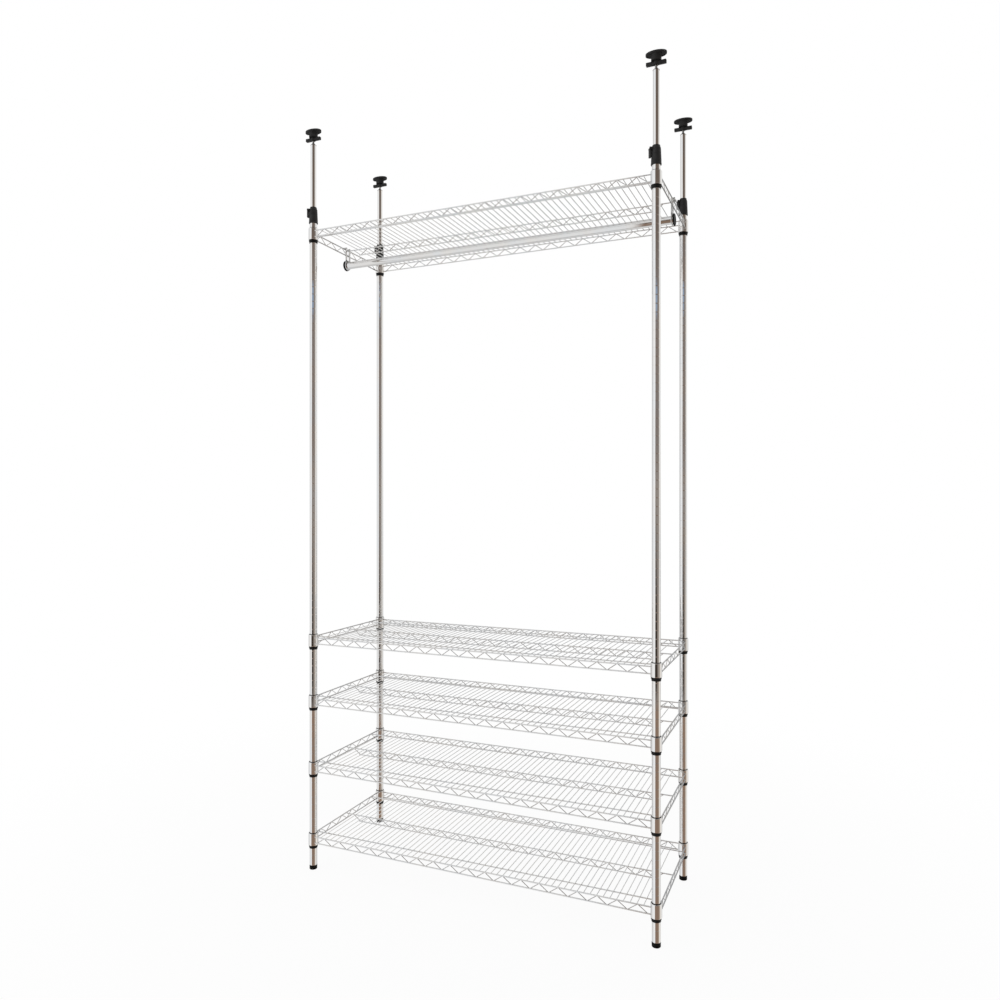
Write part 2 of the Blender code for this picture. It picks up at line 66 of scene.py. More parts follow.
class Signal:
    """A shader socket that takes part in plain sums. Any other node comes from its node method."""

    def __init__(self, tree, socket=None):
        self.tree = tree
        self.socket = socket

    def node(self, kind, settings, sockets, output=0):
        """Adds a node, makes its settings, then gives its sockets their values or links."""
        made = self.tree.nodes.new(kind)
        for name, value in settings.items():
            setattr(made, name, value)
        for name, value in sockets.items():
            if isinstance(value, Signal):
                self.tree.links.new(value.socket, made.inputs[name])
            else:
                made.inputs[name].default_value = value
        return Signal(self.tree, made.outputs[output])

    def feed(self, socket):
        self.tree.links.new(self.socket, socket)

    def maths(self, operation, first, second=0.0):
        return self.node("ShaderNodeMath", {"operation": operation}, {0: first, 1: second})

    def blend(self, first, second):
        return self.node("ShaderNodeMix", {"data_type": "RGBA"}, {0: self, 6: first, 7: second}, 2)

    def ramp(self, low, high):
        return self.node("ShaderNodeMapRange", {"interpolation_type": "SMOOTHSTEP"},
                         {0: self, 1: low, 2: high})

    def noise(self, scale, detail):
        return self.node("ShaderNodeTexNoise", {},
                         {"Vector": self, "Scale": scale, "Detail": detail})

    def __add__(self, other):
        return self.maths("ADD", self, other)

    def __sub__(self, other):
        return self.maths("SUBTRACT", self, other)

    def __rsub__(self, other):
        return self.maths("SUBTRACT", other, self)

    def __mul__(self, other):
        return self.maths("MULTIPLY", self, other)

    def __truediv__(self, other):
        return self.maths("DIVIDE", self, other)

    def __rtruediv__(self, other):
        return self.maths("DIVIDE", other, self)

    __radd__ = __add__
    __rmul__ = __mul__


def new_finish(name):
    """Starts a material and gives back it, its shader and a signal of the place on the piece."""
    finish = bpy.data.materials.new(name)
    finish.use_nodes = True
    shader = finish.node_tree.nodes["Principled BSDF"]
    start = Signal(finish.node_tree)
    return finish, shader, start.node("ShaderNodeTexCoord", {}, {}, "Object")


def moulded_plastic(name, dark, light, haze, grain, shine=0.22):
    """Black moulding with a fine grain, cloudy in shade and gloss, and paler where hands rub it."""
    finish, shader, place = new_finish(name)
    shader.inputs["Specular IOR Level"].default_value = shine
    cloud = place.noise(scale=55.0, detail=4.0)
    speck = place.noise(scale=2600.0, detail=2.0)
    rub = cloud.ramp(low=0.45, high=0.75)
    black = rub.blend((dark, dark, dark, 1.0), (light, light, light, 1.0))
    black.feed(shader.inputs["Base Color"])
    cloud_haze = 0.14 * cloud
    speck_haze = 0.10 * speck
    (haze + cloud_haze + speck_haze).feed(shader.inputs["Roughness"])
    bump = place.node("ShaderNodeBump", {}, {"Strength": 0.35, "Distance": grain, "Height": speck})
    bump.feed(shader.inputs["Normal"])
    return finish


def bright_steel(name, tone, haze, streak=1.0):
    """Bright metal: warm and cool clouds in its tone, wiping marks and fine pits in its gloss."""
    finish, shader, place = new_finish(name)
    shader.inputs["Metallic"].default_value = 1.0
    stretch = place.node("ShaderNodeMapping", {}, {"Vector": place, "Scale": (1.0, 1.0, streak)})
    wipe = stretch.noise(scale=90.0, detail=5.0)
    cloud = place.noise(scale=9.0, detail=2.0)
    pit = place.noise(scale=1400.0, detail=1.0)
    cool = (tone * 0.97, tone * 0.985, tone, 1.0)
    warm = (tone, tone * 0.985, tone * 0.965, 1.0)
    cloud.ramp(low=0.35, high=0.65).blend(cool, warm).feed(shader.inputs["Base Color"])
    wipe_haze = 0.08 * wipe.ramp(low=0.45, high=0.8)
    pit_haze = 0.04 * pit.ramp(low=0.6, high=0.8)
    (haze + wipe_haze + pit_haze).feed(shader.inputs["Roughness"])
    return finish


def start_piece():
    """Deselects everything, so that the next operators act on the new piece alone."""
    bpy.ops.object.select_all(action="DESELECT")


def end_piece(name, finish, crease=35):
    """Leaves edit mode, shades the piece, sets it at the origin and gives it its finish."""
    bpy.ops.mesh.select_all(action="SELECT")
    bpy.ops.mesh.remove_doubles(threshold=0.00003)
    bpy.ops.mesh.normals_make_consistent(inside=False)
    bpy.ops.object.mode_set(mode="OBJECT")
    bpy.ops.object.transform_apply(location=True, rotation=True, scale=True)
    bpy.ops.object.shade_smooth_by_angle(angle=math.radians(crease))
    piece = bpy.context.object
    piece.name = name
    piece.data.materials.clear()
    piece.data.materials.append(finish)
    return piece


def held(steps):
    """Adds a step near both ends of each long stretch, so that edges don't shade all of it."""
    full = [steps[0]]
    for (radius, distance), (next_radius, next_distance) in zip(steps, steps[1:]):
        length = math.hypot(next_radius - radius, next_distance - distance)
        if length > LONG_STRETCH:
            for share in (HOLD / length, 1 - HOLD / length):
                full.append((radius + (next_radius - radius) * share,
                             distance + (next_distance - distance) * share))
        full.append((next_radius, next_distance))
    return full


def turned(name, steps, sides, finish, along=UP, start=(0, 0, 0), crease=35):
    """Turns a piece: a ring is drawn along its axis and resized through (radius, distance) steps.

    An end whose radius is AXIS is closed.
    """
    start_piece()
    start = Vector(start)
    radius, distance = steps[0]
    bpy.ops.mesh.primitive_circle_add(
        vertices=sides, radius=radius, location=start + along * distance,
        rotation=along.to_track_quat("Z", "Y").to_euler(), enter_editmode=True)
    for next_radius, next_distance in steps[1:]:
        bpy.ops.mesh.extrude_region_move(
            TRANSFORM_OT_translate={"value": along * (next_distance - distance)})
        grow = next_radius / radius
        bpy.ops.transform.resize(value=(grow, grow, grow),
                                 center_override=start + along * next_distance)
        radius = next_radius
        distance = next_distance
    return end_piece(name, finish, crease)


def choose(pieces):
    """Selects these pieces alone, with the first one active."""
    start_piece()
    for piece in pieces:
        piece.select_set(True)
    bpy.context.view_layer.objects.active = pieces[0]


def reopen(piece):
    """Takes a piece back into edit mode, with all of it selected."""
    choose([piece])
    bpy.ops.object.mode_set(mode="EDIT")
    bpy.ops.mesh.select_all(action="SELECT")


def joined(name, pieces):
    """Makes one object of several, each with its own finish."""
    choose(pieces)
    bpy.ops.object.join()
    pieces[0].name = name
    return pieces[0]


def moved_copy(name, piece, offset, half_turns=0.0):
    """Copies a piece with its own mesh, turned clockwise about the Z axis, then moved."""
    choose([piece])
    bpy.ops.object.duplicate(linked=False)
    bpy.ops.transform.rotate(value=math.pi * half_turns, orient_axis="Z", center_override=(0, 0, 0))
    bpy.ops.transform.translate(value=offset)
    bpy.ops.object.transform_apply(location=True, rotation=True, scale=True)
    bpy.context.object.name = name
    return bpy.context.object


def drop(*pieces):
    """Deletes pieces that only served as models for copies."""
    for piece in pieces:
        bpy.data.objects.remove(piece, do_unlink=True)


def finish_modifier(piece, kind, **settings):
    """Adds a modifier to a piece with its settings and applies it."""
    choose([piece])
    bpy.ops.object.modifier_add(type=kind)
    modifier = piece.modifiers[-1]
    for name, value in settings.items():
        setattr(modifier, name, value)
    bpy.ops.object.modifier_apply(modifier=modifier.name)


def thread(name, core, crest, pitch, span, finish):
    """A threaded rod: a turned core, and a ridge wound round it whose foot sinks into the core."""
    low, high = span
    core_steps = ((AXIS, low), (core, low), (core, high), (AXIS, high))
    rod = turned(name + "_core", core_steps, THREAD_SIDES, finish)
    start_piece()
    ridge_radius = RIDGE_SHARE * (crest - core)
    ridge_start = (crest - ridge_radius, 0, low + pitch / 2)
    bpy.ops.mesh.primitive_circle_add(
        vertices=RIDGE_SIDES, radius=ridge_radius, location=ridge_start,
        rotation=(math.pi / 2, math.pi / 2, 0), enter_editmode=False)
    bpy.ops.object.transform_apply(location=True, rotation=True, scale=True)
    ridge = bpy.context.object
    finish_modifier(ridge, "SCREW", screw_offset=pitch, iterations=int((high - low) / pitch) - 1,
                    steps=THREAD_SIDES, render_steps=THREAD_SIDES)
    reopen(ridge)
    bpy.ops.mesh.fill_holes(sides=RIDGE_SIDES)
    ridge = end_piece(name + "_ridge", finish)
    return joined(name, [rod, ridge])


def post_axis(corner):
    """The middle of a post, which gives the place of its axis."""
    low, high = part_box("post_" + corner)
    return (low + high) / 2


def fit(piece, body, slot, *nodes):
    """Hangs a finished piece on its body and hides the solids that it stands for. Its slot is not
    used.
    """
    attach(piece, body)
    if nodes:
        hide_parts(*nodes)


def fit_at_corners(name, model, body, slot, node=None, half_turns=0.0):
    """Sets a copy of a model, made on the Z axis, on each post's axis, and deletes the model."""
    for corner in CORNERS:
        axis = post_axis(corner)
        piece = moved_copy(name + "_" + corner, model, (axis.x, axis.y, 0), half_turns)
        nodes = [node + "_" + corner] if node else []
        fit(piece, body.format(corner), slot, *nodes)
    drop(model)


foot_plastic = moulded_plastic("foot_moulding", dark=0.003, light=0.006, haze=0.42, grain=0.00006,
                               shine=0.12)
foot_cup = turned("foot_cup_model", held(FOOT_STEPS), RING_SIDES, foot_plastic)
fit_at_corners("foot_cup", foot_cup, "foot_{}", "black_plastic", "foot")
stud_steel = bright_steel("stud_steel", tone=0.45, haze=0.22)
foot_stud = thread("foot_stud_model", STUD_CORE, STUD_CREST, STUD_PITCH, STUD_SPAN, stud_steel)
fit_at_corners("foot_stud", foot_stud, "foot_{}", "chrome_plate")

# Posts. Each is a drawn steel tube, chrome plated, with a shallow groove rolled into it at
# every 25 mm, in which the shelf sleeves lock. The lower end is plugged for the foot.
POST_LOW, POST_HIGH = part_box("post_front_left")
POST_RADIUS = 0.0125
POST_BORE = 0.0113
POST_EDGE = 0.0006
TUBE_SIDES = 40
PLUG_LENGTH = 0.030
PLUG_BORE = 0.0042
GROOVE_PITCH = 0.025
GROOVE_DEPTH = 0.00032
GROOVE_STEPS = (
    (0.0, 0.0), (0.0, 0.0005), (0.0, 0.0229), (0.0, 0.0234), (0.55, 0.0237), (1.0, 0.0241),
    (1.0, 0.0243), (0.55, 0.0247), (0.0, 0.0250))


def repeated(piece, count, step):
    """Sets copies of a piece in a row and welds the ends that meet."""
    finish_modifier(piece, "ARRAY", count=count, use_relative_offset=False,
                    use_constant_offset=True, constant_offset_displace=step,
                    use_merge_vertices=True, merge_threshold=0.00002)
    return piece


chrome = bright_steel("bright_chrome", tone=0.86, haze=0.03, streak=0.12)
groove_count = int((POST_HIGH.z - POST_LOW.z) / GROOVE_PITCH)
first_groove = POST_HIGH.z - groove_count * GROOVE_PITCH
groove_steps = [(POST_RADIUS - GROOVE_DEPTH * deep, first_groove + up) for deep, up in GROOVE_STEPS]
one_groove = turned("post_model", groove_steps, TUBE_SIDES, chrome)
grooves = repeated(one_groove, groove_count, (0, 0, GROOVE_PITCH))
plug_top = POST_LOW.z + PLUG_LENGTH
bore_steps = (
    (POST_RADIUS, first_groove), (POST_RADIUS, POST_LOW.z + POST_EDGE),
    (POST_RADIUS - POST_EDGE, POST_LOW.z), (PLUG_BORE, POST_LOW.z), (PLUG_BORE, plug_top),
    (POST_BORE, plug_top), (POST_BORE, POST_HIGH.z), (POST_RADIUS, POST_HIGH.z))
bore = turned("post_bore", held(bore_steps), TUBE_SIDES, chrome)
reopen(joined("post_model", [grooves, bore]))
post = end_piece("post_model", chrome)
fit_at_corners("post_tube", post, "frame", "chrome_plate", "post")

# Sleeves. Each is a black moulded wedge in two half shells, which clip round the post into
# a groove. The shelf's collar drops over it, jams it tight and sits on the flange at its foot.
SLEEVE_SLIT = 0.00025
SLEEVE_STEPS = (
    (0.0128, 0.0), (0.0134, 0.0), (0.0137, 0.0003), (0.0138, 0.0008), (0.0138, 0.0046),
    (0.0147, 0.0054), (0.0150, 0.0057), (0.0151, 0.0063), (0.0151, 0.0099), (0.0149, 0.0104),
    (0.01445, 0.0105), (0.01440, 0.0109), (0.01402, 0.0520), (0.01385, 0.0527), (0.0136, 0.0530),
    (0.0128, 0.0530), (0.0128, 0.0))
SHELVES = ("1", "2", "3", "4", "top")

sleeve_plastic = moulded_plastic("sleeve_moulding", dark=0.006, light=0.013, haze=0.34,
                                 grain=0.00004)
reopen(turned("sleeve_half", held(SLEEVE_STEPS), RING_SIDES, sleeve_plastic))
bpy.ops.mesh.bisect(plane_co=(0, SLEEVE_SLIT, 0), plane_no=(0, 1, 0), clear_inner=True,
                    use_fill=True)
half_shell = end_piece("sleeve_half", sleeve_plastic)
other_half = moved_copy("sleeve_other_half", half_shell, (0, 0, 0), half_turns=1.0)
sleeve = joined("sleeve_model", [half_shell, other_half])
for shelf in SHELVES:
    for corner in CORNERS:
        place = shelf + "_" + corner
        axis = post_axis(corner)
        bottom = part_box("sleeve_" + place)[0].z
        shells = moved_copy("sleeve_shells_" + place, sleeve, (axis.x, axis.y, bottom))
        fit(shells, "frame", "black_plastic", "sleeve_" + place)
drop(sleeve)

# Shelves. Each is a mat of thin chrome wires, welded on trusses along its edges and down its
# middle, with a tapered tube collar at every corner. The trusses' legs are one bent wire.
REACH_X = post_axis("back_right").x
REACH_Y = post_axis("back_right").y
RAIL_OFFSET = 0.009
RAIL_RADIUS = 0.0020
RAIL_SIDES = 12
RAIL_END = 0.0126
TOP_RAIL = 0.0300
BOTTOM_RAIL = 0.0094
TRUSS_END = 0.0215
LEG_RADIUS = 0.0012
LEG_SIDES = 8
LEG_BEND = 0.0042
LEG_BEND_STEPS = 3
LEG_SINK = 0.0007
LEG_PERIOD = 0.060
LEG_CREASE = 60
WIRE_CREASE = 50
DECK_RADIUS = 0.0012
DECK_SIDES = 8
DECK_HEIGHT = 0.0297
DECK_PITCH = 0.0199
DECK_COUNT = 57
INSET_RAIL = 0.041
INSET_HEIGHT = 0.0262
INSET_RADIUS = 0.0019
INSET_SIDES = 10
MIDDLE_HIGH = 0.0261
MIDDLE_LOW = 0.0056
MIDDLE_RADIUS = 0.0019
MIDDLE_END = 0.045
COLLAR_STEPS = (
    (0.01475, 0.0), (0.0158, 0.0), (0.0162, 0.0002), (0.01645, 0.0007), (0.0165, 0.0014),
    (0.0163, 0.0388), (0.0161, 0.0397), (0.0157, 0.0403), (0.0152, 0.0405), (0.01437, 0.0405),
    (0.01475, 0.0))

wire_chrome = bright_steel("wire_chrome", tone=0.74, haze=0.12)
leg_chrome = bright_steel("leg_chrome", tone=0.60, haze=0.16)
# The side trusses' wire is the same chrome as the rest, given a lower tone: painted shade, so that
# these trusses read darker.
side_chrome_painted_shade = bright_steel("side_chrome_painted_shade", tone=0.48, haze=0.14)


def wire(name, start, end, radius, sides, finish=wire_chrome):
    """A straight wire from start to end, drawn as a ring, with its cut ends dressed."""
    along = Vector(end) - Vector(start)
    length = along.length
    face = 0.5 * radius
    dressed = 0.3 * radius
    steps = ((AXIS, 0), (face, 0), (radius, dressed), (radius, length - dressed), (face, length),
             (AXIS, length))
    return turned(name, steps, sides, finish, along.normalized(), start, WIRE_CREASE)


def zigzag(name, length, count, low, high, first_up):
    """A wire bent to and fro between two rails along X: legs by extrusion, bends by spin."""
    start_piece()
    low = low + LEG_SINK
    high = high - LEG_SINK
    period = length / count
    flip = 1 if first_up else -1
    middle = (low + high) / 2
    bend_z = (high - low) / 2 - LEG_BEND
    drop_z = 2 * bend_z
    between = math.hypot(period / 2, drop_z)
    slope = math.atan2(drop_z, period / 2) + math.asin(2 * LEG_BEND / between)
    run = math.sqrt(between ** 2 - (2 * LEG_BEND) ** 2)
    left = -length / 2
    bpy.ops.mesh.primitive_circle_add(
        vertices=LEG_SIDES, radius=LEG_RADIUS, rotation=(0, math.pi / 2, 0),
        location=(left, 0, middle - flip * (bend_z + LEG_BEND)), enter_editmode=True)

    def bend(x, side):
        bpy.ops.mesh.spin(steps=LEG_BEND_STEPS, angle=slope, axis=(0, -side, 0),
                          center=(x, 0, middle + side * bend_z))

    def leg(side):
        bpy.ops.mesh.extrude_region_move(TRANSFORM_OT_translate={
            "value": (run * math.cos(slope), 0, side * run * math.sin(slope))})

    bend(left, -flip)
    leg(flip)
    bend(left + period / 2, flip)
    bend(left + period / 2, flip)
    leg(-flip)
    bend(left + period, -flip)
    one_period = end_piece(name, leg_chrome, LEG_CREASE)
    reopen(repeated(one_period, count, (period, 0, 0)))
    bpy.ops.mesh.fill_holes(sides=LEG_SIDES)
    return end_piece(name, leg_chrome, LEG_CREASE)


def truss(name, length, upper_end, lower_end, low, high, legs, first_up, radius, finish):
    """Two rails along X with the bent wire between them."""
    upper = wire(name + "_upper", (-upper_end, 0, high), (upper_end, 0, high), radius, RAIL_SIDES,
                 finish)
    lower = wire(name + "_lower", (-lower_end, 0, low), (lower_end, 0, low), radius, RAIL_SIDES,
                 finish)
    bent = zigzag(name + "_legs", length, legs, low, high, first_up)
    return joined(name, [upper, lower, bent])


long_length = 2 * (REACH_X - TRUSS_END)
side_length = 2 * (REACH_Y - TRUSS_END)
long_legs = round(long_length / LEG_PERIOD)
side_legs = round(side_length / LEG_PERIOD)
long_end = REACH_X - RAIL_END
side_end = REACH_Y - RAIL_END
rail_x = REACH_X + RAIL_OFFSET
rail_y = REACH_Y + RAIL_OFFSET
long_truss = truss(
    "long_truss", long_length, upper_end=long_end, lower_end=long_end, low=BOTTOM_RAIL,
    high=TOP_RAIL, legs=long_legs, first_up=True, radius=RAIL_RADIUS, finish=wire_chrome)
side_truss = truss(
    "side_truss", side_length, upper_end=side_end, lower_end=side_end, low=BOTTOM_RAIL,
    high=TOP_RAIL, legs=side_legs, first_up=True, radius=RAIL_RADIUS, finish=side_chrome_painted_shade)
middle_truss = truss(
    "middle_truss", long_length, upper_end=rail_x, lower_end=REACH_X - MIDDLE_END, low=MIDDLE_LOW,
    high=MIDDLE_HIGH, legs=long_legs, first_up=False, radius=MIDDLE_RADIUS, finish=wire_chrome)
wires = [middle_truss]
for sign in (-1, 1):
    wires.append(moved_copy("long_side", long_truss, (0, sign * rail_y, 0)))
    wires.append(moved_copy("short_side", side_truss, (sign * rail_x, 0, 0), half_turns=0.5))
    across = sign * (REACH_Y - INSET_RAIL)
    wires.append(wire("inset_rail", (-rail_x, across, INSET_HEIGHT), (rail_x, across, INSET_HEIGHT),
                      INSET_RADIUS, INSET_SIDES))
drop(long_truss, side_truss)
deck_half = DECK_PITCH * (DECK_COUNT - 1) / 2
deck_wire = wire("deck_wire", (-deck_half, -rail_y, DECK_HEIGHT), (-deck_half, rail_y, DECK_HEIGHT),
                 DECK_RADIUS, DECK_SIDES)
wires.append(repeated(deck_wire, DECK_COUNT, (DECK_PITCH, 0, 0)))
mat_model = joined("mat_model", wires)
collar = turned("collar_model", held(COLLAR_STEPS), RING_SIDES, chrome)
collars = []
for corner in CORNERS:
    axis = post_axis(corner)
    collars.append(moved_copy("collar", collar, (axis.x, axis.y, 0)))
collar_set = joined("collar_set_model", collars)
for shelf in SHELVES:
    body = "shelf_" + shelf
    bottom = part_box(body)[0].z
    fit(moved_copy("wire_" + body, mat_model, (0, 0, bottom)), body, "chrome_plate", body)
    fit(moved_copy("collars_" + body, collar_set, (0, 0, bottom)), body, "chrome_plate")
drop(mat_model, collar, collar_set)

# Hanger bar. A chrome tube hangs under the top shelf from a hook bracket at either end, each
# hooked over a side rail, and black caps close the tube's ends.
LENGTHWAYS = Vector((1, 0, 0))
BAR_RADIUS = 0.0125
BAR_BORE = 0.0115
BAR_EDGE = 0.0004
CAP_THICKNESS = 0.005
CAP_STEPS = (
    (AXIS, -0.0120), (0.0109, -0.0120), (0.0112, -0.0116), (0.0112, 0.0), (0.0174, 0.0),
    (0.0182, 0.0004), (0.0185, 0.0012), (0.0185, 0.0036), (0.0181, 0.0045), (0.0172, 0.0050),
    (0.0125, 0.0050), (0.0121, 0.0047), (AXIS, 0.0047))
RING_STEPS = (
    (0.0128, 0.0), (0.0162, 0.0), (0.0166, 0.0003), (0.0168, 0.0008), (0.0168, 0.0027),
    (0.0166, 0.0032), (0.0162, 0.0035), (0.0128, 0.0035), (0.0128, 0.0))
STRAP = 0.0035
STRAP_EDGE = 0.0008
HOOK_LIP = 0.003
PRONG_INNER = 0.0062
PRONG_OUTER = 0.0138
PRONG_FOOT = 0.0085
WEB_LOW = 0.0125
WEB_HIGH = 0.0190
BLOCK_CREASE = 40

bar_low, bar_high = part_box("hanger_bar")
bar_height = (bar_low.z + bar_high.z) / 2
bar_end = bar_high.x
bar_steps = (
    (BAR_BORE, -bar_end), (BAR_RADIUS - BAR_EDGE, -bar_end), (BAR_RADIUS, BAR_EDGE - bar_end),
    (BAR_RADIUS, bar_end - BAR_EDGE), (BAR_RADIUS - BAR_EDGE, bar_end), (BAR_BORE, bar_end),
    (BAR_BORE, -bar_end))
bar_chrome = bright_steel("bar_chrome", tone=0.76, haze=0.03)
bar = turned("hanger_tube", held(bar_steps), RING_SIDES, bar_chrome, LENGTHWAYS, (0, 0, bar_height))
fit(bar, "shelf_top", "chrome_plate", "hanger_bar")

cap_plastic = moulded_plastic("cap_moulding", dark=0.006, light=0.013, haze=0.36, grain=0.00005,
                              shine=0.08)
cap_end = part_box("bar_cap_right")[1].x
cap = turned("bar_end_cap_right", held(CAP_STEPS), RING_SIDES, cap_plastic, LENGTHWAYS,
             (cap_end - CAP_THICKNESS, 0, bar_height))
other_cap = moved_copy("bar_end_cap_left", cap, (0, 0, 0), half_turns=1.0)
fit(other_cap, "shelf_top", "black_plastic", "bar_cap_left")
fit(cap, "shelf_top", "black_plastic", "bar_cap_right")


def block(name, low, high, edge, finish):
    """A block between two corners, with rounded edges."""
    start_piece()
    low = Vector(low)
    high = Vector(high)
    bpy.ops.mesh.primitive_cube_add(size=1, location=(low + high) / 2, enter_editmode=True)
    bpy.ops.transform.resize(value=high - low, center_override=(low + high) / 2)
    bpy.ops.mesh.bevel(offset=edge, segments=3, affect="EDGES")
    return end_piece(name, finish, BLOCK_CREASE)


bracket_steel = bright_steel("bracket_steel", tone=0.64, haze=0.14)
bracket_low, bracket_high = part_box("bar_bracket_right")
inner = bracket_low.x
outer = bracket_high.x
top = bracket_high.z
bracket_parts = [turned("bracket_ring", held(RING_STEPS), RING_SIDES, bracket_steel, LENGTHWAYS,
                        (inner, 0, bar_height))]
strap_blocks = [("web", (inner, -PRONG_OUTER, bar_height + WEB_LOW),
                 (inner + STRAP, PRONG_OUTER, bar_height + WEB_HIGH))]
for near, far in ((-PRONG_OUTER, -PRONG_INNER), (PRONG_INNER, PRONG_OUTER)):
    strap_blocks += [
        ("prong", (inner, near, bar_height + PRONG_FOOT), (inner + STRAP, far, top)),
        ("hook", (inner, near, top - STRAP), (outer, far, top)),
        ("lip", (outer - STRAP, near, top - STRAP - HOOK_LIP), (outer, far, top))]
for name, low, high in strap_blocks:
    bracket_parts.append(block(name, low, high, STRAP_EDGE, bracket_steel))
bracket = joined("bar_hook_right", bracket_parts)
other_bracket = moved_copy("bar_hook_left", bracket, (0, 0, 0), half_turns=1.0)
fit(other_bracket, "shelf_top", "chrome_plate", "bar_bracket_left")
fit(bracket, "shelf_top", "chrome_plate", "bar_bracket_right")

# Pole clamps. Each is a black moulded sleeve that sits on the post's upper end and grips the
# pole in its neck. A pair of ears on its left side, turned a little to the front, carries the
# lever's pin.
CLAMP_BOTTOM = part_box("clamp_front_left")[0].z
CLAMP_STEPS = (
    (0.0128, 0.0), (0.0148, 0.0), (0.0151, 0.0003), (0.0152, 0.0008), (0.0152, 0.0042),
    (0.0149, 0.0047), (0.0147, 0.0130), (0.0143, 0.0240), (0.0140, 0.0298), (0.0136, 0.0302),
    (0.0136, 0.0312), (0.01395, 0.0316), (0.0133, 0.0462), (0.0130, 0.0482), (0.0123, 0.0500),
    (0.0116, 0.0511), (0.0115, 0.0518), (0.0114, 0.0548), (0.0111, 0.0556), (0.0106, 0.0560),
    (0.0098, 0.0560), (0.0098, 0.0313), (0.0128, 0.0313), (0.0128, 0.0))
LEVER_WIDTH = 0.012
LEVER_HALF = 0.003
EAR = 0.0025
EAR_GAP = 0.0003
EAR_ROOT = 0.0097
EAR_EDGE = 0.0008

lever_low, lever_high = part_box("lever_front_left")
lever_place = (lever_low + lever_high) / 2 - post_axis("front_left")
lever_turn = math.atan2(lever_place.y, -lever_place.x) / math.pi
lever_pin = Vector((-math.hypot(lever_place.x, lever_place.y), 0, lever_high.z - LEVER_HALF))
clamp_plastic = moulded_plastic("clamp_moulding", dark=0.018, light=0.028, haze=0.38, grain=0.00008)
clamp_parts = [turned("clamp_body", held(CLAMP_STEPS), RING_SIDES, clamp_plastic,
                      start=(0, 0, CLAMP_BOTTOM))]
ear_in = LEVER_WIDTH / 2 + EAR_GAP
ear_out = ear_in + EAR
for near, far in ((-ear_out, -ear_in), (ear_in, ear_out)):
    clamp_parts.append(block("ear", (lever_pin.x - LEVER_HALF, near, lever_pin.z - LEVER_HALF),
                             (-EAR_ROOT, far, lever_pin.z + LEVER_HALF), EAR_EDGE, clamp_plastic))
clamp = joined("clamp_model", clamp_parts)
fit_at_corners("clamp_shell", clamp, "frame", "black_plastic", "clamp", lever_turn)

# Clamp levers. Each is a short black flap that hangs flat on the clamp when it is locked, with
# a thumb recess in its face, and swings out on its pin to free the pole.
LEVER_LENGTH = 0.025
LEVER_CUTS = 5
LEVER_EDGE = 0.0007
RECESS_HALF = 0.0042
RECESS_LOW = -0.0215
RECESS_HIGH = -0.0080
RECESS_DEPTH = 0.0005
RECESS_SLOPE = 0.0006
KNUCKLE_EDGE = 0.0003
KNUCKLE_SIDES = 32
ACROSS = Vector((0, 1, 0))

lever_plastic = moulded_plastic("lever_moulding", dark=0.023, light=0.037, haze=0.33, grain=0.00005)
lever_middle = lever_pin - Vector((0, 0, LEVER_LENGTH / 2))
start_piece()
bpy.ops.mesh.primitive_cube_add(size=1, location=lever_middle, enter_editmode=True)
bpy.ops.transform.resize(value=(2 * LEVER_HALF, LEVER_WIDTH, LEVER_LENGTH),
                         center_override=lever_middle)
bpy.ops.mesh.subdivide(number_cuts=LEVER_CUTS)
bpy.ops.mesh.select_all(action="DESELECT")
bpy.ops.object.mode_set(mode="OBJECT")
flap = bpy.context.object
for face in flap.data.polygons:
    spot = flap.matrix_world @ face.center - lever_pin
    looks_left = face.normal.x < -0.9
    in_recess = abs(spot.y) < RECESS_HALF and RECESS_LOW < spot.z < RECESS_HIGH
    face.select = looks_left and in_recess
bpy.ops.object.mode_set(mode="EDIT")
bpy.ops.mesh.inset(thickness=RECESS_SLOPE, depth=-RECESS_DEPTH)
flap = end_piece("lever_flap_body", lever_plastic, BLOCK_CREASE)
finish_modifier(flap, "BEVEL", width=LEVER_EDGE, segments=2, limit_method="ANGLE")
half_width = LEVER_WIDTH / 2
knuckle_steps = (
    (AXIS, -half_width), (LEVER_HALF - KNUCKLE_EDGE, -half_width),
    (LEVER_HALF, KNUCKLE_EDGE - half_width), (LEVER_HALF, half_width - KNUCKLE_EDGE),
    (LEVER_HALF - KNUCKLE_EDGE, half_width), (AXIS, half_width))
knuckle = turned("lever_knuckle", held(knuckle_steps), KNUCKLE_SIDES, lever_plastic, ACROSS,
                 lever_pin)
lever = joined("lever_model", [flap, knuckle])
fit_at_corners("lever_flap", lever, "lever_{}", "black_plastic", "lever", lever_turn)

# Extension poles. Each is a thinner chrome tube that slides in the post on a guide bush. A steel
# nut with a conical head is pressed into its upper end and takes the jack screw.
POLE_LOW, POLE_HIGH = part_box("pole_front_left")
POLE_RADIUS = 0.0095
POLE_BORE = 0.0085
POLE_EDGE_IN = 0.0002
POLE_EDGE_UP = 0.0004
GUIDE_RADIUS = 0.0110
GUIDE_LENGTH = 0.030
CONE_HEIGHT = 0.006
NUT_LENGTH = 0.022
NUT_BORE = 0.0044
NUT_STEPS = (
    (NUT_BORE, -NUT_LENGTH), (POLE_BORE, -NUT_LENGTH), (POLE_BORE, 0.0), (0.0098, 0.0),
    (0.0101, 0.0003), (0.0101, 0.0010), (0.0097, 0.0015), (0.0074, 0.0032), (0.0056, 0.0056),
    (0.0051, CONE_HEIGHT), (NUT_BORE, CONE_HEIGHT), (NUT_BORE, -NUT_LENGTH))

